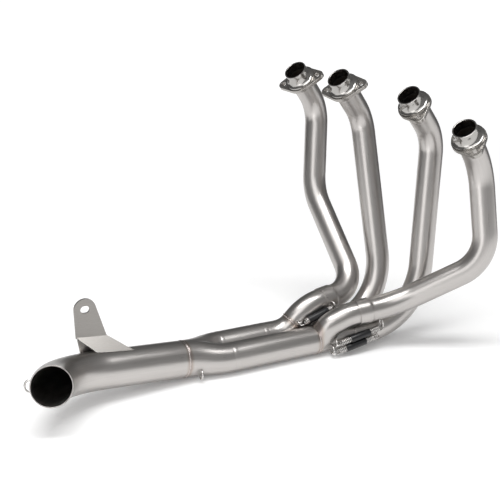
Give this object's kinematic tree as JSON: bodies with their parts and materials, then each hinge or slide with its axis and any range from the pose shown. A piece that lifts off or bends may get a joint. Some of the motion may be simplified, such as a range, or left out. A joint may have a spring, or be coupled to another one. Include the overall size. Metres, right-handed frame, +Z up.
{
  "type": "motorcycle exhaust header",
  "caption": "Brushed steel exhaust header: curved primary tubes with bolt flanges slip into spring-held collectors and one bent outlet pipe.",
  "frame": {"origin": "on the ground, under the middle of the header's length and width", "axes": "+X forward along the middle tubes to the ports, +Y to the left, +Z up"},
  "size_m": [0.7183, 0.3519, 0.4254],
  "materials": {
    "tube_steel": "satin brushed",
    "turned_steel": "turned and polished",
    "flange_steel": "satin",
    "bracket_steel": "satin",
    "bright_wire": "bright drawn wire",
    "sleeve_rubber": "smooth"
  },
  "bodies": {
    "root": {"primary_1": "tube_steel", "primary_2": "tube_steel", "primary_3": "tube_steel", "primary_4": "tube_steel", "port_end_1": "turned_steel", "port_end_2": "turned_steel", "port_end_3": "turned_steel", "port_end_4": "turned_steel", "flange_1": "flange_steel", "flange_2": "flange_steel", "flange_3": "flange_steel", "flange_4": "flange_steel", "rear_collector": "tube_steel", "front_collector": "tube_steel", "rear_middle_tube": "tube_steel", "front_middle_tube": "tube_steel", "last_merge": "tube_steel", "outlet_pipe": "tube_steel", "hanger_bracket": "bracket_steel", "hanger_leg": "bracket_steel", "spring_1": "bright_wire", "spring_3": "bright_wire", "spring_4": "bright_wire", "sleeve_1": "sleeve_rubber", "sleeve_3": "sleeve_rubber", "sleeve_4": "sleeve_rubber", "primary_loop_1": "bright_wire", "primary_loop_3": "bright_wire", "primary_loop_4": "bright_wire", "collector_loop_1": "bright_wire", "collector_loop_3": "bright_wire", "collector_loop_4": "bright_wire", "merge_loop": "bright_wire", "outlet_loop": "bright_wire"}
  },
  "joints": []
}
